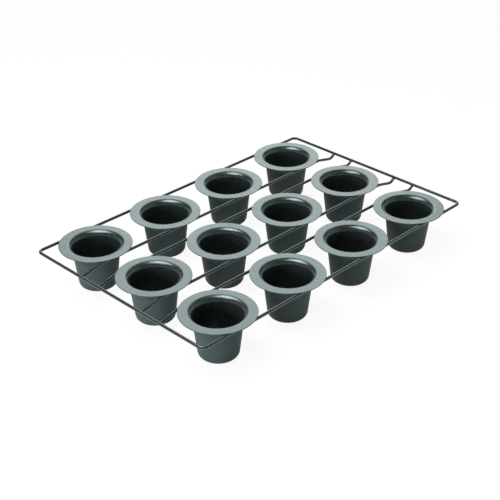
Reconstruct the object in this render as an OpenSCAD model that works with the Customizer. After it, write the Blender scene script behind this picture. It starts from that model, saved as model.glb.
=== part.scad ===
// Popover pan: twelve deep drawn steel cups, hung by their flat flanges from a welded wire frame.
// The pan stands on the cups' bases at z = 0. X runs along the four columns, Y along the three rows.
// Millimetres throughout.

/* [Cup] */
// Height of a cup from its base to the top of its flange
cup_h = 50; // [40:1:70]
// Outside diameter that the tapered wall would have at the flange's top
body_top_d = 52.8; // [48:0.2:62]
// Outside diameter that the tapered wall would have at the base
base_d = 40.8; // [36:0.2:46]
// Thickness of the drawn steel sheet
sheet_t = 0.9; // [0.6:0.1:1.5]
// Radius of the roll between wall and flange, on its underside
rim_roll_r = 5.5; // [4:0.1:7]
// Outside radius of the rolled edge round the base
base_roll_r = 6.4; // [4:0.1:9]
// Width of the flat band of the flange, outside the roll
flange_w = 8.2; // [7.5:0.05:13]

/* [Grid] */
// Clear gap between the flanges of neighbouring cups in one row
col_gap = 19.7; // [12:0.1:40]
// Clear gap between the flanges of neighbouring rows
row_gap = 15.2; // [12:0.1:40]

/* [Frame wire] */
// Diameter of the wire that is bent into the outer frame
frame_wire_d = 3.3; // [2.5:0.1:4.5]
// Radius of the frame's corners, at the middle of the wire
corner_r = 6; // [5:0.5:14]
// Clear gap between the end flanges and the frame's end rails
end_gap = 9.7; // [8:0.1:40]

/* [Support wires] */
// Diameter of the four inner wires that run under the flanges
support_wire_d = 3.2; // [2.5:0.1:4.5]
// Distance from the roll of a cup to the near side of the wire under its flange
wire_clear = 0.45; // [0.2:0.05:3]
// Distance from the end rail's middle to the bend where a support wire starts to dip
dip_run = 28.5; // [22:0.5:34]
// Slope at which the wire dips below the end rail, in degrees
dip_angle = 13.5; // [12:0.5:20]
// Radius of the bend at the start of the dip, at the middle of the wire
dip_bend_r = 15; // [5:0.5:25]
// Slope at which the wire's end rises to meet the rail, in degrees
hook_angle = 45; // [35:1:55]
// Radius of the bend at the bottom of the dip, at the middle of the wire; a short rise limits it
hook_bend_r = 8; // [4:0.5:12]

/* [Hidden] */
$fa = 3;
$fs = 0.4;

// The pan has a fixed layout: four cups in each of three rows.
ROWS = ["front", "middle", "back"];
COLS = 4;

// A sheet's arc is this much larger than its tangent radius, so that it cleanly crosses the straights it joins.
bite = 0.002;
// A support wire is this much thicker all round in its bends, as bent wire is, and a straight runs
// into the bend by the lap, so that the two fuse.
swell = 0.02;
lap = 0.05;
// How far an outline that cuts or fills a corner reaches past the sheet.
past = 1;

// Places are rounded to a hundredth of a millimetre.
function snap(v) = round(v * 100) / 100;

// The wall's taper, and its outside radius at a height.
taper = atan2((body_top_d - base_d) / 2, cup_h);
function wall_r(z) = base_d / 2 + z * tan(taper);
// The wall's thickness as it is crossed level.
wall_x = sheet_t / cos(taper);

// Middle of the roll at the flange, and of the rolled edge at the base, as [radius, height].
rim_c = [wall_r(cup_h - sheet_t - rim_roll_r) + rim_roll_r / cos(taper), cup_h - sheet_t - rim_roll_r];
base_c = [wall_r(base_roll_r) - base_roll_r / cos(taper), base_roll_r];

flange_r = snap(rim_c[0] + flange_w);
col_pitch = 2 * flange_r + col_gap;
row_pitch = 2 * flange_r + row_gap;
flange_underside = cup_h - sheet_t;

// The wires touch the flanges from below.
frame_z = flange_underside - frame_wire_d / 2;
support_z = flange_underside - support_wire_d / 2;
frame_offset = snap(rim_c[0] + wire_clear + frame_wire_d / 2);
support_offset = snap(rim_c[0] + wire_clear + support_wire_d / 2);
frame_half_l = (COLS - 1) / 2 * col_pitch + flange_r + end_gap + frame_wire_d / 2;
frame_half_w = row_pitch + frame_offset;

// A support wire's rising end points at the middle of the end rail, and its square cut face touches the
// rail. The rail's middle lies below the wire's level by this much.
rail_drop = support_z - frame_z;
// Lengths of the dip and of the rise, between the corners that the bends round off.
dip_len = (rail_drop * cos(hook_angle) + dip_run * sin(hook_angle)) / sin(dip_angle + hook_angle);
rise_len = (dip_run - dip_len * cos(dip_angle)) / cos(hook_angle) - frame_wire_d / 2;
dip_trim = dip_bend_r * tan(dip_angle / 2);
// The bend at the bottom leaves a tenth of the rise straight.
hook_turn = dip_angle + hook_angle;
hook_r = min(hook_bend_r, 0.9 * rise_len / tan(hook_turn / 2));
hook_trim = hook_r * tan(hook_turn / 2);

// The four support wires: two under the middle row and one under the inner side of each outer row.
SUPPORTS = [
    ["front_row_support_wire", support_offset - row_pitch],
    ["middle_row_front_support_wire", -support_offset],
    ["middle_row_back_support_wire", support_offset],
    ["back_row_support_wire", row_pitch - support_offset]
];

// A cup's name and place, from its row and column.
function cup_name(row, col) = str("cup_", ROWS[row], "_", col + 1);
function cup_place(row, col) =
    [(col - (COLS - 1) / 2) * col_pitch, (row - (len(ROWS) - 1) / 2) * row_pitch, 0];

coating = [0.27, 0.31, 0.30];
wire_coating = [0.12, 0.13, 0.13];

// What an arc leaves of the corner that it rounds: four-sided, from the arc's middle through three points.
module corner_waste(middle, r, points) {
    difference() {
        polygon(concat([middle], points));
        translate(middle) circle(r + bite);
    }
}

// A point at a distance from a middle, along a direction given in degrees.
function out(middle, distance, angle) = middle + distance * [cos(angle), sin(angle)];

// Wall, floor and flange as one solid outline, before the hollow is taken out.
module cup_outside() {
    difference() {
        polygon([[0, 0], [base_d / 2, 0], [wall_r(cup_h), cup_h], [0, cup_h]]);
        corner_waste(base_c, base_roll_r, [
            out(base_c, base_roll_r + past, -90),
            [base_d / 2 + past, -past],
            out(base_c, base_roll_r + past, -taper)
        ]);
    }
    translate([0, flange_underside]) square([flange_r, sheet_t]);
    // The roll's underside
    corner_waste(rim_c, rim_roll_r, [
        out(rim_c, rim_roll_r + sheet_t / 2, 90),
        [wall_r(cup_h) - wall_x / 2, cup_h - sheet_t / 2],
        out(rim_c, rim_roll_r + sheet_t / 2, 180 - taper)
    ]);
}

// The hollow that holds the batter, with its rounded floor edge and the rounded lip.
module cup_hollow() {
    difference() {
        polygon([
            [0, sheet_t],
            [wall_r(sheet_t) - wall_x, sheet_t],
            [wall_r(cup_h + past) - wall_x, cup_h + past],
            [0, cup_h + past]
        ]);
        corner_waste(base_c, base_roll_r - sheet_t, [
            out(base_c, base_roll_r, -90),
            [base_d / 2 + past, -past],
            out(base_c, base_roll_r, -taper)
        ]);
    }
    corner_waste(rim_c, rim_roll_r + sheet_t, [
        out(rim_c, rim_roll_r + sheet_t + past, 90),
        [wall_r(cup_h) - wall_x - past, cup_h + past],
        out(rim_c, rim_roll_r + sheet_t + past, 180 - taper)
    ]);
}

// One cup, drawn from a single sheet, about its own axis.
module cup() {
    color(coating)
        rotate_extrude()
            difference() {
                cup_outside();
                cup_hollow();
            }
}

// A bend of a round wire that starts at the origin along +X and turns up towards +Z.
module bend_up(d, r, angle) {
    translate([0, 0, r])
        rotate([90, 0, 0])
            rotate_extrude(angle = angle, start = -90)
                translate([r, 0]) circle(d = d + 2 * swell);
}

// A bend that turns down towards -Z.
module bend_down(d, r, angle) {
    mirror([0, 0, 1]) bend_up(d, r, angle);
}

// A straight length of round wire along +X, from one distance to another.
module straight(d, from, to) {
    translate([from, 0, 0]) rotate([0, 90, 0]) cylinder(h = to - from, d = d);
}

// The dip at one end of a support wire: down below the end rail, then up to meet it.
module support_wire_dip() {
    bend_down(support_wire_d, dip_bend_r, dip_angle);
    translate([dip_bend_r * sin(dip_angle), 0, dip_bend_r * (cos(dip_angle) - 1)])
        rotate([0, dip_angle, 0]) {
            slope = dip_len - dip_trim - hook_trim;
            straight(support_wire_d, -lap, slope + lap);
            translate([slope, 0, 0]) support_wire_hook();
        }
}

// The bend at the bottom of the dip and the rising end.
module support_wire_hook() {
    bend_up(support_wire_d, hook_r, hook_turn);
    translate([hook_r * sin(hook_turn), 0, hook_r * (1 - cos(hook_turn))])
        rotate([0, -hook_turn, 0]) straight(support_wire_d, -lap, rise_len - hook_trim);
}

// One support wire at its place across the pan, level under the flanges and dipped at both ends.
module support_wire(y) {
    level = frame_half_l - dip_run - dip_trim;
    color(wire_coating)
        translate([0, y, support_z]) {
            straight(support_wire_d, -level - lap, level + lap);
            for (side = [0, 1]) mirror([side, 0, 0]) translate([level, 0, 0]) support_wire_dip();
        }
}

// One quarter of the outer frame: half a long rail, a corner and half an end rail.
module frame_quarter() {
    long_half = frame_half_l - corner_r;
    end_half = frame_half_w - corner_r;
    translate([0, end_half, 0]) {
        translate([0, corner_r, 0]) straight(frame_wire_d, 0, long_half);
        translate([long_half, 0, 0])
            rotate_extrude(angle = 90, start = 0)
                translate([corner_r, 0]) circle(d = frame_wire_d);
    }
    translate([frame_half_l, end_half, 0])
        rotate([90, 0, 0]) cylinder(h = end_half, d = frame_wire_d);
}

// The outer frame: one wire bent into a closed ring, butt welded.
module frame_wire() {
    color(wire_coating)
        translate([0, 0, frame_z])
            for (x = [0, 1], y = [0, 1])
                mirror([x, 0, 0]) mirror([0, y, 0]) frame_quarter();
}

frame_wire();

for (wire = SUPPORTS) {
    support_wire(wire[1]);
}

for (row = [0 : len(ROWS) - 1], col = [0 : COLS - 1]) {
    translate(cup_place(row, col)) cup();
}
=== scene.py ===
"""Looks of the popover pan: coated drawn cups, coated wires, weld marks and the studio round them."""

import math

import bmesh
import bpy
from bpy.props import FloatProperty, FloatVectorProperty, IntProperty, PointerProperty
from mathutils import Matrix, Vector


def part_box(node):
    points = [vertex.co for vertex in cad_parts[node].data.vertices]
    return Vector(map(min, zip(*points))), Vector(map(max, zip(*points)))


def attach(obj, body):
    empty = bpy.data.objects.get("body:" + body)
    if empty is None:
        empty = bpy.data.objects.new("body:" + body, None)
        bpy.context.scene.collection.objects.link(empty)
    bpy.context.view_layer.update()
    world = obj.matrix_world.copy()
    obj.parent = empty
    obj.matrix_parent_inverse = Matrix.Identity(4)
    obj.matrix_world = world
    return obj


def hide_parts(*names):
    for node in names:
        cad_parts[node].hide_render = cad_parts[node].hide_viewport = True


bl_info = {
    "name": "Popover Pan",
    "version": (1, 0, 0),
    "blender": (4, 5, 0),
    "location": "View3D > Sidebar > Popover Pan",
    "description": "Builds a popover pan's coated cups, wires and welds, and the studio round it",
    "category": "Object",
}

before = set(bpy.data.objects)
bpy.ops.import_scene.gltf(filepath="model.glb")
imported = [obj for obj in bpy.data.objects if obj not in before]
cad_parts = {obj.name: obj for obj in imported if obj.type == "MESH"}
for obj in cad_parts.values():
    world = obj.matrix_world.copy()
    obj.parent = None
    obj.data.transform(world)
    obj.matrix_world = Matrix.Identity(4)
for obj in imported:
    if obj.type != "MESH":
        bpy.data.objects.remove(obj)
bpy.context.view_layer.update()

MM = 0.001
# Corners closer than this become one
MERGE = 1e-6
ROWS = ("front", "middle", "back")
CUPS = [f"cup_{row}_{column}" for row in ROWS for column in range(1, 5)]
SUPPORT_WIRES = (
    "front_row_support_wire",
    "middle_row_front_support_wire",
    "middle_row_back_support_wire",
    "back_row_support_wire",
)
UP = Vector((0, 0, 1))
PAN_MIDDLE = Vector((0, 0, 0.03))
# Facets along the arcs of a cup's section
ROLL_STEPS, LIP_STEPS, EDGE_STEPS = 12, 16, 4
# Facets along the bends of a wire: the frame's corner, the start of a dip and its bottom
CORNER_STEPS, DIP_STEPS, HOOK_STEPS = 16, 4, 6
CUT_END_BEVEL = 0.25 * MM
# Half sizes of a weld's bead under a flange and at an end rail
FLANGE_BEAD = (2.4 * MM, 1.5 * MM, 0.55 * MM)
RAIL_BEAD = (1.75 * MM, 1.85 * MM, 0.8 * MM)
# Distance along the wire from a cup's middle to its welds, and their depth below the flange
FLANGE_WELD_REACH = 12 * MM
FLANGE_WELD_DEPTH = 0.3 * MM
# Half the floor's width, its share of plain white near the pan, and where that grows to all of it
FLOOR_HALF = 6
NEAR_WHITE = 0.92
FLOOR_WHITENS = (0.7, 3)
# Where the white horizon fades out, as the sine of the elevation
HORIZON_FADES = (0.215, 0.25)
# Tint of the coatings' gloss
GLOSS_TINT = (0.7, 1.0, 0.98, 1)
# Sockets of a Mix node that are in use when it mixes colours
COLOUR_A, COLOUR_B, COLOUR_RESULT = 6, 7, 2


def middle_of(node):
    """Middle of a CAD node's box."""
    low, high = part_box(node)
    return (low + high) / 2


def size_of(node):
    """Width, depth and height of a CAD node's box."""
    low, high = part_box(node)
    return high - low


class PopoverPanCups(bpy.types.PropertyGroup):
    """Sizes and finish of the drawn cups."""

    sheet: FloatProperty(
        name="Sheet thickness", description="Thickness of the drawn steel sheet",
        default=0.9 * MM, unit="LENGTH", precision=5)
    body_top_diameter: FloatProperty(
        name="Body diameter at the top", description="Outside diameter of the tapered wall at the flange",
        default=52.8 * MM, unit="LENGTH", precision=5)
    base_diameter: FloatProperty(
        name="Body diameter at the base", description="Outside diameter of the tapered wall at the base",
        default=40.8 * MM, unit="LENGTH", precision=5)
    rim_roll: FloatProperty(
        name="Rim roll radius", description="Radius of the roll between wall and flange, on its underside",
        default=5.5 * MM, unit="LENGTH", precision=5)
    base_roll: FloatProperty(
        name="Base roll radius", description="Outside radius of the rolled edge round the base",
        default=6.4 * MM, unit="LENGTH", precision=5)
    edge_round: FloatProperty(
        name="Edge rounding", description="Radius on the trimmed edge of the flange",
        default=0.32 * MM, unit="LENGTH", precision=5)
    steps_round: IntProperty(
        name="Steps round the cup", description="Facets round one cup", default=144, min=24)
    # The outside colour is the cups' coating made paler, as painted light on the outer walls, not a
    # different coating.
    outside: FloatVectorProperty(
        name="Outside", description="Colour of the duller coating on the cups' outside",
        default=(0.036, 0.054, 0.054), subtype="COLOR", min=0, max=1)
    coating: FloatVectorProperty(
        name="Coating", description="Colour of the cups' non-stick coating",
        default=(0.009, 0.0130, 0.0128), subtype="COLOR", min=0, max=1)
    coating_pale: FloatVectorProperty(
        name="Coating, pale patches", description="Colour of the coating where it is thinner",
        default=(0.013, 0.0190, 0.0185), subtype="COLOR", min=0, max=1)


class PopoverPanWires(bpy.types.PropertyGroup):
    """Sizes and finish of the frame wire and the support wires."""

    corner_radius: FloatProperty(
        name="Corner radius", description="Radius of the frame's corners at the middle of the wire",
        default=6 * MM, unit="LENGTH", precision=5)
    dip_run: FloatProperty(
        name="Dip run", description="Distance from the end rail's middle to the start of the dip",
        default=28.5 * MM, unit="LENGTH", precision=5)
    dip_angle: FloatProperty(
        name="Dip angle", description="Slope at which a support wire dips below the end rail",
        default=math.radians(13.5), subtype="ANGLE")
    dip_bend: FloatProperty(
        name="Dip bend radius", description="Radius of the bend at the start of the dip",
        default=15 * MM, unit="LENGTH", precision=5)
    hook_angle: FloatProperty(
        name="Hook angle", description="Slope at which a support wire's end rises to the rail",
        default=math.radians(45), subtype="ANGLE")
    hook_bend: FloatProperty(
        name="Hook bend radius", description="Radius of the bend at the bottom of the dip",
        default=8 * MM, unit="LENGTH", precision=5)
    sides: IntProperty(name="Sides", description="Facets round a wire", default=32, min=8)
    coating: FloatVectorProperty(
        name="Coating", description="Colour of the wires' coating",
        default=(0.008, 0.010, 0.010), subtype="COLOR", min=0, max=1)
    coating_pale: FloatVectorProperty(
        name="Coating, pale patches", description="Colour of the wires' coating where it is thinner",
        default=(0.013, 0.016, 0.016), subtype="COLOR", min=0, max=1)


class PopoverPanStudio(bpy.types.PropertyGroup):
    """Camera, lamps and surroundings."""

    focal_length: FloatProperty(
        name="Focal length", description="Lens of the camera, on a 36 mm sensor, in millimetres",
        default=81.76)
    azimuth: FloatProperty(
        name="Azimuth", description="Direction of the camera's look, turned from +Y",
        default=math.radians(-44.842), subtype="ANGLE")
    elevation: FloatProperty(
        name="Elevation", description="Height of the camera above the horizon, as an angle",
        default=math.radians(30.38), subtype="ANGLE")
    roll: FloatProperty(
        name="Roll", description="Turn of the camera about its own axis",
        default=math.radians(0.538), subtype="ANGLE")
    distance: FloatProperty(
        name="Distance", description="Distance from the camera to its target",
        default=1.19188, unit="LENGTH")
    target: FloatVectorProperty(
        name="Target", description="Point that the camera looks at",
        default=(-0.043563, -0.034013, 0.050), subtype="TRANSLATION", unit="LENGTH")
    softbox_power: FloatProperty(
        name="Softbox power", description="Power of the large softbox behind the pan",
        default=31, unit="POWER")
    left_fill_power: FloatProperty(
        name="Left fill power", description="Power of the low fill lamp to the left of the view",
        default=20, unit="POWER")
    right_fill_power: FloatProperty(
        name="Right fill power", description="Power of the low fill lamp to the right of the view",
        default=2.5, unit="POWER")
    right_softbox_power: FloatProperty(
        name="Right softbox power", description="Power of the dim softbox to the right of the view",
        default=2.5, unit="POWER")
    overhead_power: FloatProperty(
        name="Overhead power", description="Power of the small lamp above the pan",
        default=19.5, unit="POWER")
    sky_strength: FloatProperty(
        name="Sky strength", description="Strength at which the surroundings light the pan from all round",
        default=0.07)


def arc(middle, radius, start, end, steps):
    """Points on an arc in the profile plane, from one angle to another, in degrees."""
    angles = (math.radians(start + (end - start) * i / steps) for i in range(steps + 1))
    return [Vector((middle[0] + radius * math.cos(a), 0, middle[1] + radius * math.sin(a))) for a in angles]


def held(points, hold=0.3 * MM):
    """The outline with a point close to each end of its long straights, so that flats shade flat."""
    result = [points[0]]
    for before, after in zip(points, points[1:]):
        run = after - before
        if run.length > 4 * hold:
            result.append(before + run.normalized() * hold)
            result.append(after - run.normalized() * hold)
        result.append(after)
    return result


def cup_profile(cup, flange_r, height):
    """Closed section of one cup, from the middle of its underside out, round the flange and back in."""
    taper = math.atan2((cup.body_top_diameter - cup.base_diameter) / 2, height)
    slope = math.degrees(taper)

    def wall_r(z):
        return cup.base_diameter / 2 + z * math.tan(taper)

    rim_z = height - cup.sheet - cup.rim_roll
    rim = (wall_r(rim_z) + cup.rim_roll / math.cos(taper), rim_z)
    base = (wall_r(cup.base_roll) - cup.base_roll / math.cos(taper), cup.base_roll)
    edge = flange_r - cup.edge_round
    under, top = height - cup.sheet + cup.edge_round, height - cup.edge_round
    outside = [Vector((0, 0, 0))]
    outside += arc(base, cup.base_roll, -90, -slope, ROLL_STEPS)
    outside += arc(rim, cup.rim_roll, 180 - slope, 90, ROLL_STEPS)
    trimmed = arc((edge, under), cup.edge_round, -90, 0, EDGE_STEPS)
    trimmed += arc((edge, top), cup.edge_round, 0, 90, EDGE_STEPS)
    inside = arc(rim, cup.rim_roll + cup.sheet, 90, 180 - slope, LIP_STEPS)
    inside += arc(base, cup.base_roll - cup.sheet, -slope, -90, ROLL_STEPS)
    inside.append(Vector((0, 0, cup.sheet)))
    return held(outside + trimmed + inside)


def smooth_mesh(name, bm):
    """Turns a bmesh into a smooth-shaded mesh whose faces point outwards."""
    bmesh.ops.recalc_face_normals(bm, faces=bm.faces)
    for face in bm.faces:
        face.smooth = True
    mesh = bpy.data.meshes.new(name)
    bm.to_mesh(mesh)
    bm.free()
    return mesh


def new_piece(name, mesh, material):
    """A piece of the pan, made of a mesh that is already in its place."""
    mesh.materials.append(material)
    piece = bpy.data.objects.new(name, mesh)
    bpy.context.scene.collection.objects.link(piece)
    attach(piece, "root")
    return piece


def unwrap_round(bm, run):
    """UV map of a spun shape: U goes once round the axis and V follows the section's run."""
    uv = bm.loops.layers.uv.new("UVMap")
    for face in bm.faces:
        turns = []
        for loop in face.loops:
            turns.append(math.atan2(loop.vert.co.y, loop.vert.co.x) / math.tau % 1)
        seam = max(turns) - min(turns) > 0.5
        for loop, turn in zip(face.loops, turns):
            loop[uv].uv = (turn + 1 if seam and turn < 0.5 else turn, loop.vert[run])


def spun_cup(cup, size):
    """Mesh of one cup, spun about the origin's upright axis. Faces below its lip take the second finish."""
    points = cup_profile(cup, size.x / 2, size.z)
    bm = bmesh.new()
    run = bm.verts.layers.float.new("run")
    length = 0
    corners = []
    for i, point in enumerate(points):
        length += (point - points[i - 1]).length if i else 0
        corner = bm.verts.new(point)
        corner[run] = length
        corners.append(corner)
    lip = max(corners, key=lambda corner: corner.co.x)[run]
    for before, after in zip(corners, corners[1:]):
        bm.edges.new((before, after))
    bmesh.ops.spin(
        bm, geom=bm.verts[:] + bm.edges[:], cent=(0, 0, 0), axis=UP, angle=math.tau,
        steps=cup.steps_round, use_merge=True)
    bmesh.ops.remove_doubles(bm, verts=bm.verts, dist=MERGE)
    unwrap_round(bm, run)
    for face in bm.faces:
        face.material_index = int(max(vert[run] for vert in face.verts) <= lip)
    return smooth_mesh("drawn_cup", bm)


def placed_cup(name, drawn, material, outside):
    """One cup at its place in the pan."""
    middle = middle_of(name)
    mesh = drawn.copy()
    mesh.transform(Matrix.Translation((middle.x, middle.y, 0)))
    piece = new_piece(name + "_drawn", mesh, material)
    mesh.materials.append(outside)
    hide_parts(name)


def wire_ring(bm, radius, sides, at):
    """A ring of edges across a wire that heads along +X."""
    turn = Matrix.Translation(at) @ Matrix.Rotation(math.pi / 2, 4, "Y")
    made = bmesh.ops.create_circle(bm, cap_ends=False, segments=sides, radius=radius, matrix=turn)
    return list(dict.fromkeys(edge for vert in made["verts"] for edge in vert.link_edges))


def ring_verts(ring):
    """The vertices of a ring of edges, each once and in the same order in every run."""
    return list(dict.fromkeys(vert for edge in ring for vert in edge.verts))


def run_straight(bm, ring, heading, length):
    """Draws the wire on, straight, and returns its new end ring."""
    made = bmesh.ops.extrude_edge_only(bm, edges=ring)["geom"]
    ends = [e for e in made if isinstance(e, bmesh.types.BMVert)]
    bmesh.ops.translate(bm, verts=ends, vec=heading * length)
    return [e for e in made if isinstance(e, bmesh.types.BMEdge)]


def run_bend(bm, ring, heading, centre, axis, angle, steps):
    """Bends the wire about an axis, and returns its new end ring and heading."""
    geom = ring_verts(ring) + ring
    made = bmesh.ops.spin(bm, geom=geom, cent=centre, axis=axis, angle=angle, steps=steps)
    ring = [e for e in made["geom_last"] if isinstance(e, bmesh.types.BMEdge)]
    return ring, Matrix.Rotation(angle, 3, axis) @ heading


def ring_middle(ring):
    """Middle of a ring of edges."""
    verts = ring_verts(ring)
    return sum((vert.co for vert in verts), Vector()) / len(verts)


def mirror_across(bm, axis):
    """Adds the mirror image across the origin's plane and joins it on."""
    bmesh.ops.mirror(
        bm, geom=bm.verts[:] + bm.edges[:] + bm.faces[:], matrix=Matrix.Identity(4),
        merge_dist=MERGE, axis=axis)
    bmesh.ops.remove_doubles(bm, verts=bm.verts, dist=MERGE)


def frame_ring(wires, material):
    """The outer frame: a quarter of the ring, mirrored twice."""
    size, middle = size_of("frame_wire"), middle_of("frame_wire")
    radius = size.z / 2
    half_l, half_w = size.x / 2 - radius, size.y / 2 - radius
    bm = bmesh.new()
    heading = Vector((1, 0, 0))
    ring = wire_ring(bm, radius, wires.sides, Vector((0, half_w, middle.z)))
    ring = run_straight(bm, ring, heading, half_l - wires.corner_radius)
    centre = Vector((half_l - wires.corner_radius, half_w - wires.corner_radius, middle.z))
    ring, heading = run_bend(bm, ring, heading, centre, UP, -math.pi / 2, CORNER_STEPS)
    run_straight(bm, ring, heading, half_w - wires.corner_radius)
    mirror_across(bm, "X")
    mirror_across(bm, "Y")
    piece = new_piece("frame_wire_coated", smooth_mesh("frame_wire", bm), material)
    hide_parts("frame_wire")


def end_rail_x():
    """Distance from the pan's middle to the middle of an end rail, and the rail's radius."""
    size = size_of("frame_wire")
    return size.x / 2 - size.z / 2, size.z / 2


def support_wire(name, wires, material):
    """One support wire: level under the flanges, dipped at each end, mirrored from its right half."""
    low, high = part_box(name)
    radius, level_z = (high.y - low.y) / 2, high.z - (high.y - low.y) / 2
    rail_x, rail_r = end_rail_x()
    rail_z = middle_of("frame_wire").z
    dip, hook = wires.dip_angle, wires.hook_angle
    drop = level_z - rail_z
    dip_length = (drop * math.cos(hook) + wires.dip_run * math.sin(hook)) / math.sin(dip + hook)
    rise_length = (wires.dip_run - dip_length * math.cos(dip)) / math.cos(hook) - rail_r
    dip_trim = wires.dip_bend * math.tan(dip / 2)
    hook_trim = wires.hook_bend * math.tan((dip + hook) / 2)

    bm = bmesh.new()
    across = Vector((0, 1, 0))
    heading = Vector((1, 0, 0))
    ring = wire_ring(bm, radius, wires.sides, Vector((0, (low.y + high.y) / 2, level_z)))
    ring = run_straight(bm, ring, heading, rail_x - wires.dip_run - dip_trim)
    centre = ring_middle(ring) + across.cross(heading) * wires.dip_bend
    ring, heading = run_bend(bm, ring, heading, centre, across, dip, DIP_STEPS)
    ring = run_straight(bm, ring, heading, dip_length - dip_trim - hook_trim)
    centre = ring_middle(ring) - across.cross(heading) * wires.hook_bend
    ring, heading = run_bend(bm, ring, heading, centre, across, -(dip + hook), HOOK_STEPS)
    ring = run_straight(bm, ring, heading, rise_length - hook_trim)
    bmesh.ops.edgeloop_fill(bm, edges=ring)
    bmesh.ops.bevel(
        bm, geom=ring, offset=CUT_END_BEVEL, offset_type="OFFSET", segments=2, profile=0.5,
        affect="EDGES", material=-1)
    mirror_across(bm, "X")
    piece = new_piece(name + "_coated", smooth_mesh(name, bm), material)
    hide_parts(name)


def bead(bm, at, size, tilt=0):
    """A flattened bead of fused metal."""
    place = Matrix.Translation(at) @ Matrix.Rotation(tilt, 4, "Y") @ Matrix.Diagonal((*size, 1))
    bmesh.ops.create_uvsphere(bm, u_segments=16, v_segments=10, radius=1, matrix=place)


def flange_welds(sheet, material):
    """The welds between the flanges and the wires under them."""
    rail_y = size_of("frame_wire").y / 2 - size_of("frame_wire").z / 2
    wire_ys = [middle_of(name).y for name in SUPPORT_WIRES] + [-rail_y, rail_y]
    weld_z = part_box(CUPS[0])[1].z - sheet - FLANGE_WELD_DEPTH
    bm = bmesh.new()
    for name in CUPS:
        centre, flange_r = middle_of(name), size_of(name).x / 2
        for y in wire_ys:
            if abs(y - centre.y) < flange_r:
                for side in (-FLANGE_WELD_REACH, FLANGE_WELD_REACH):
                    bead(bm, Vector((centre.x + side, y, weld_z)), FLANGE_BEAD)
    new_piece("flange_welds", smooth_mesh("flange_welds", bm), material)


def rail_welds(hook, material):
    """The welds between the support wires' cut ends, which rise at the hook's angle, and the end rails."""
    rail_x, rail_r = end_rail_x()
    weld_z = middle_of("frame_wire").z - rail_r * math.sin(hook)
    bm = bmesh.new()
    for name in SUPPORT_WIRES:
        for side in (-1, 1):
            at = Vector((side * (rail_x - rail_r * math.cos(hook)), middle_of(name).y, weld_z))
            bead(bm, at, RAIL_BEAD, side * (math.pi / 2 - hook))
    new_piece("rail_welds", smooth_mesh("rail_welds", bm), material)


def surface_nodes(name):
    """A new material's node tree, its shader and its Object coordinates."""
    material = bpy.data.materials.new(name)
    material.use_nodes = True
    nodes = material.node_tree.nodes
    shader = nodes["Principled BSDF"]
    place = nodes.new("ShaderNodeTexCoord").outputs["Object"]
    return material, nodes, material.node_tree.links, shader, place


def noise(nodes, links, place, scale, detail=2, roughness=0.5):
    """A noise pattern's value."""
    node = nodes.new("ShaderNodeTexNoise")
    node.inputs["Scale"].default_value = scale
    node.inputs["Detail"].default_value = detail
    node.inputs["Roughness"].default_value = roughness
    links.new(place, node.inputs["Vector"])
    return node.outputs["Fac"]


def stretched(nodes, links, place, scale):
    """Coordinates scaled differently along each axis."""
    node = nodes.new("ShaderNodeMapping")
    node.inputs["Scale"].default_value = scale
    links.new(place, node.inputs["Vector"])
    return node.outputs["Vector"]


def ranged(nodes, links, value, before, after=(0, 1)):
    """A value moved from the range before to the range after, held at its ends."""
    node = nodes.new("ShaderNodeMapRange")
    for socket, number in zip(("From Min", "From Max", "To Min", "To Max"), (*before, *after)):
        node.inputs[socket].default_value = number
    links.new(value, node.inputs["Value"])
    return node.outputs["Result"]


def blended(nodes, links, factor, first, second):
    """Two colours mixed by a factor. Each is a colour value or another node's output."""
    node = nodes.new("ShaderNodeMix")
    node.data_type = "RGBA"
    links.new(factor, node.inputs["Factor"])
    for index, colour in ((COLOUR_A, first), (COLOUR_B, second)):
        if isinstance(colour, bpy.types.NodeSocket):
            links.new(colour, node.inputs[index])
        else:
            node.inputs[index].default_value = (*colour, 1)
    return node.outputs[COLOUR_RESULT]


def combined(nodes, links, operation, first, second):
    """Two values put together by a Math node's operation."""
    node = nodes.new("ShaderNodeMath")
    node.operation = operation
    links.new(first, node.inputs[0])
    links.new(second, node.inputs[1])
    return node.outputs["Value"]


def bumped(nodes, links, height, strength, distance, under=None):
    """A bump, laid over another one if given."""
    node = nodes.new("ShaderNodeBump")
    node.inputs["Strength"].default_value = strength
    node.inputs["Distance"].default_value = distance
    links.new(height, node.inputs["Height"])
    if under is not None:
        links.new(under, node.inputs["Normal"])
    return node.outputs["Normal"]


def cup_finish(cup):
    """Dark grey-green non-stick coating: mottled, and faintly drawn along the wall."""
    material, nodes, links, shader, place = surface_nodes("cup_finish")
    along = nodes.new("ShaderNodeTexCoord").outputs["UV"]
    mottle = noise(nodes, links, place, scale=55, detail=4, roughness=0.55)
    patches = ranged(nodes, links, mottle, (0.35, 0.65))
    colour = blended(nodes, links, patches, cup.coating, cup.coating_pale)
    links.new(colour, shader.inputs["Base Color"])

    gloss = noise(nodes, links, place, scale=90, detail=5, roughness=0.6)
    links.new(ranged(nodes, links, gloss, (0.3, 0.7), (0.25, 0.31)), shader.inputs["Roughness"])
    shader.inputs["IOR"].default_value = 1.8
    shader.inputs["Specular Tint"].default_value = GLOSS_TINT

    grain = noise(nodes, links, place, scale=1500)
    drawn = noise(nodes, links, stretched(nodes, links, along, (260, 60, 1)), scale=1, detail=3)
    waves = noise(nodes, links, place, scale=70)
    normal = bumped(nodes, links, grain, strength=0.06, distance=0.06 * MM)
    normal = bumped(nodes, links, drawn, strength=0.03, distance=0.10 * MM, under=normal)
    normal = bumped(nodes, links, waves, strength=0.08, distance=0.25 * MM, under=normal)
    links.new(normal, shader.inputs["Normal"])
    return material


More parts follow.
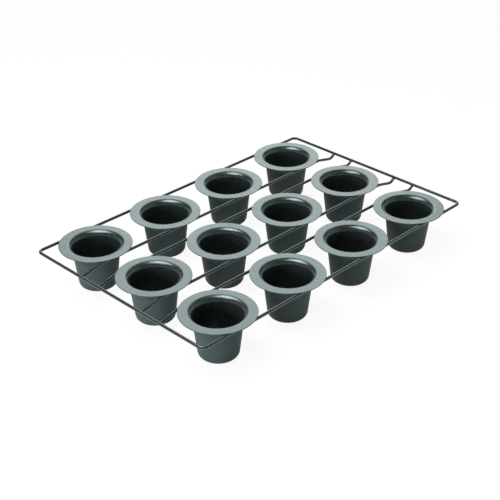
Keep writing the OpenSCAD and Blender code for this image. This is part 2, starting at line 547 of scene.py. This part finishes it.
def outside_painted_light_finish(cup):
    """The cups' coating on the outside and under the flanges, rougher and duller. Its paler colour is
    painted light: the same coating as inside, lightened to stand for the light that the outer walls catch.
    """
    material, nodes, links, shader, place = surface_nodes("outside_painted_light_finish")
    mottle = noise(nodes, links, place, scale=55, detail=4, roughness=0.55)
    patches = ranged(nodes, links, mottle, (0.35, 0.65))
    paler = [1.15 * channel for channel in cup.outside]
    # Painted light: the outside colour is a lightened copy of the inside coating, so the outer walls look
    # lit.
    links.new(blended(nodes, links, patches, cup.outside, paler), shader.inputs["Base Color"])
    shader.inputs["Roughness"].default_value = 0.6
    shader.inputs["IOR"].default_value = 1.2
    grain = noise(nodes, links, place, scale=1500)
    links.new(bumped(nodes, links, grain, strength=0.12, distance=0.06 * MM), shader.inputs["Normal"])
    return material


def wire_finish(wires):
    """Near-black coating on the wires, with fine grain, small lumps and thin places."""
    material, nodes, links, shader, place = surface_nodes("wire_finish")
    mottle = noise(nodes, links, place, scale=140, detail=4)
    patches = ranged(nodes, links, mottle, (0.4, 0.65))
    links.new(blended(nodes, links, patches, wires.coating, wires.coating_pale), shader.inputs["Base Color"])
    gloss = noise(nodes, links, place, scale=260, detail=3)
    links.new(ranged(nodes, links, gloss, (0.3, 0.7), (0.2, 0.28)), shader.inputs["Roughness"])
    shader.inputs["IOR"].default_value = 1.65
    shader.inputs["Specular Tint"].default_value = GLOSS_TINT
    grain = noise(nodes, links, place, scale=1300)
    lumps = noise(nodes, links, place, scale=240)
    normal = bumped(nodes, links, grain, strength=0.15, distance=0.05 * MM)
    normal = bumped(nodes, links, lumps, strength=0.2, distance=0.15 * MM, under=normal)
    links.new(normal, shader.inputs["Normal"])
    return material


def weld_finish(wires):
    """The wires' coating over the welds, which dries rough and uneven on them."""
    material, nodes, links, shader, place = surface_nodes("weld_finish")
    mottle = noise(nodes, links, place, scale=400, detail=3)
    patches = ranged(nodes, links, mottle, (0.4, 0.6))
    links.new(blended(nodes, links, patches, wires.coating, wires.coating_pale), shader.inputs["Base Color"])
    shader.inputs["Roughness"].default_value = 0.55
    shader.inputs["IOR"].default_value = 1.4
    lumps = noise(nodes, links, place, scale=900, detail=3)
    links.new(bumped(nodes, links, lumps, strength=0.5, distance=0.2 * MM), shader.inputs["Normal"])
    return material


def shared_finish(maker, settings):
    """The finish that a maker makes, made once."""
    return bpy.data.materials.get(maker.__name__) or maker(settings)


class POPOVER_PAN_OT_cups(bpy.types.Operator):
    """Build the twelve drawn cups"""

    bl_idname = "popover_pan.cups"
    bl_label = "Cups"

    def execute(self, context):
        cup = context.scene.popover_pan_cups
        material = shared_finish(cup_finish, cup)
        # The outside finish is a paler copy of the cup coating, painted light on the outer walls.
        outside = shared_finish(outside_painted_light_finish, cup)
        drawn = spun_cup(cup, size_of(CUPS[0]))
        for name in CUPS:
            placed_cup(name, drawn, material, outside)
        bpy.data.meshes.remove(drawn)
        return {"FINISHED"}


class POPOVER_PAN_OT_frame_wire(bpy.types.Operator):
    """Build the outer frame wire"""

    bl_idname = "popover_pan.frame_wire"
    bl_label = "Frame wire"

    def execute(self, context):
        wires = context.scene.popover_pan_wires
        frame_ring(wires, shared_finish(wire_finish, wires))
        return {"FINISHED"}


class POPOVER_PAN_OT_support_wires(bpy.types.Operator):
    """Build the four support wires"""

    bl_idname = "popover_pan.support_wires"
    bl_label = "Support wires"

    def execute(self, context):
        wires = context.scene.popover_pan_wires
        material = shared_finish(wire_finish, wires)
        for name in SUPPORT_WIRES:
            support_wire(name, wires, material)
        return {"FINISHED"}


class POPOVER_PAN_OT_welds(bpy.types.Operator):
    """Build the spot welds under the flanges and at the end rails"""

    bl_idname = "popover_pan.welds"
    bl_label = "Welds"

    def execute(self, context):
        wires = context.scene.popover_pan_wires
        material = shared_finish(weld_finish, wires)
        flange_welds(context.scene.popover_pan_cups.sheet, material)
        rail_welds(wires.hook_angle, material)
        return {"FINISHED"}


def softbox(name, at, size, power, colour=(1, 1, 1), mirrored=True):
    """A rectangular lamp turned towards the pan, hidden from the camera and, if not mirrored, from gloss."""
    data = bpy.data.lights.new(name, "AREA")
    data.shape = "RECTANGLE"
    data.size, data.size_y = size
    data.energy = power
    data.color = colour
    lamp = bpy.data.objects.new(name, data)
    lamp.location = at
    lamp.rotation_euler = (Vector(at) - PAN_MIDDLE).to_track_quat("Z", "Y").to_euler()
    lamp.visible_camera = False
    lamp.visible_glossy = mirrored
    bpy.context.scene.collection.objects.link(lamp)


def shows_white(nodes, links):
    """1 for rays from the camera, off gloss or through glass, and 0 for the rest."""
    path = nodes.new("ShaderNodeLightPath")
    total = path.outputs["Is Camera Ray"]
    for ray in ("Is Glossy Ray", "Is Transmission Ray"):
        total = combined(nodes, links, "MAXIMUM", total, path.outputs[ray])
    return total


def pale_floor():
    """White floor that keeps a soft shadow round the pan and turns plain white far from it."""
    material, nodes, links, shader, place = surface_nodes("studio_floor")
    tone = ranged(nodes, links, noise(nodes, links, place, scale=3, detail=3), (0.3, 0.7))
    links.new(blended(nodes, links, tone, (0.88, 0.88, 0.88), (0.9, 0.9, 0.9)), shader.inputs["Base Color"])
    shader.inputs["Roughness"].default_value = 0.9
    shader.inputs["Specular IOR Level"].default_value = 0.1
    glow = nodes.new("ShaderNodeEmission")
    distance = nodes.new("ShaderNodeVectorMath")
    distance.operation = "LENGTH"
    links.new(place, distance.inputs[0])
    glowing = ranged(nodes, links, distance.outputs["Value"], FLOOR_WHITENS, (NEAR_WHITE, 1))
    share = combined(nodes, links, "MULTIPLY", shows_white(nodes, links), glowing)
    mix = nodes.new("ShaderNodeMixShader")
    links.new(share, mix.inputs["Fac"])
    links.new(shader.outputs["BSDF"], mix.inputs[1])
    links.new(glow.outputs["Emission"], mix.inputs[2])
    links.new(mix.outputs["Shader"], nodes["Material Output"].inputs["Surface"])
    return material


def white_world(strength):
    """Surroundings that show white round the horizon and light the pan dimly and evenly."""
    world = bpy.data.worlds.new("studio_surroundings")
    world.use_nodes = True
    nodes, links = world.node_tree.nodes, world.node_tree.links
    background = nodes["Background"]
    background.inputs["Color"].default_value = (1, 1, 1, 1)
    look = nodes.new("ShaderNodeTexCoord").outputs["Generated"]
    split = nodes.new("ShaderNodeSeparateXYZ")
    links.new(look, split.inputs["Vector"])
    horizon = ranged(nodes, links, split.outputs["Z"], HORIZON_FADES, (1, 0))
    shown = combined(nodes, links, "MULTIPLY", shows_white(nodes, links), horizon)
    links.new(ranged(nodes, links, shown, (0, 1), (strength, 1)), background.inputs["Strength"])
    return world


def photo_camera(studio):
    """The camera at the photograph's viewing angle."""
    a, e = studio.azimuth, studio.elevation
    back = Vector((math.sin(a) * math.cos(e), -math.cos(a) * math.cos(e), math.sin(e)))
    level = Vector((math.cos(a), math.sin(a), 0))
    upright = back.cross(level)
    right = level * math.cos(studio.roll) - upright * math.sin(studio.roll)
    up = back.cross(right)
    data = bpy.data.cameras.new("photo_camera")
    data.sensor_width = 36
    data.lens = studio.focal_length
    camera = bpy.data.objects.new("photo_camera", data)
    turn = Matrix((right, up, back)).transposed().to_4x4()
    camera.matrix_world = Matrix.Translation(Vector(studio.target) + back * studio.distance) @ turn
    bpy.context.scene.collection.objects.link(camera)
    bpy.context.scene.camera = camera


class POPOVER_PAN_OT_studio(bpy.types.Operator):
    """Set up the floor, the lamps, the surroundings and the camera"""

    bl_idname = "popover_pan.studio"
    bl_label = "Studio"

    def execute(self, context):
        studio = context.scene.popover_pan_studio
        bm = bmesh.new()
        bmesh.ops.create_grid(bm, x_segments=4, y_segments=4, size=FLOOR_HALF)
        mesh = bpy.data.meshes.new("studio_floor")
        bm.to_mesh(mesh)
        bm.free()
        mesh.materials.append(pale_floor())
        floor = bpy.data.objects.new("studio_floor", mesh)
        context.scene.collection.objects.link(floor)
        context.scene.world = white_world(studio.sky_strength)
        softbox("back_softbox", at=(1.77, 1.79, 1.66), size=(1.7, 1.9), power=studio.softbox_power)
        softbox("right_softbox", at=(1.0, -0.84, 0.95), size=(1.8, 1.2), power=studio.right_softbox_power)
        softbox(
            "overhead_lamp", at=(-0.34, 0.18, 1.16), size=(0.85, 0.68), power=studio.overhead_power,
            colour=(1, 0.85, 0.85))
        softbox(
            "left_fill", at=(-1.35, 0.05, 0.32), size=(0.8, 0.4), power=studio.left_fill_power,
            mirrored=False)
        softbox(
            "right_fill", at=(0.7, -0.7, 0.3), size=(0.4, 0.3), power=studio.right_fill_power,
            mirrored=False)
        photo_camera(studio)
        context.scene.view_settings.view_transform = "Standard"
        return {"FINISHED"}


class POPOVER_PAN_PT_sidebar(bpy.types.Panel):
    """Lists the popover pan's builders"""

    bl_idname = "POPOVER_PAN_PT_sidebar"
    bl_label = "Popover Pan"
    bl_space_type = "VIEW_3D"
    bl_region_type = "UI"
    bl_category = "Popover Pan"

    def draw(self, context):
        for operator in OPERATORS:
            self.layout.operator(operator.bl_idname)


GROUPS = {
    "popover_pan_cups": PopoverPanCups,
    "popover_pan_wires": PopoverPanWires,
    "popover_pan_studio": PopoverPanStudio,
}
OPERATORS = (
    POPOVER_PAN_OT_studio,
    POPOVER_PAN_OT_cups,
    POPOVER_PAN_OT_frame_wire,
    POPOVER_PAN_OT_support_wires,
    POPOVER_PAN_OT_welds,
)
CLASSES = (*GROUPS.values(), *OPERATORS, POPOVER_PAN_PT_sidebar)


def register():
    for one in CLASSES:
        bpy.utils.register_class(one)
    for name, group in GROUPS.items():
        setattr(bpy.types.Scene, name, PointerProperty(type=group))


def unregister():
    for name in GROUPS:
        delattr(bpy.types.Scene, name)
    for one in reversed(CLASSES):
        bpy.utils.unregister_class(one)


def main():
    register()
    bpy.ops.popover_pan.studio()
    bpy.ops.popover_pan.cups()
    bpy.ops.popover_pan.frame_wire()
    bpy.ops.popover_pan.support_wires()
    bpy.ops.popover_pan.welds()


if __name__ == "__main__":
    main()
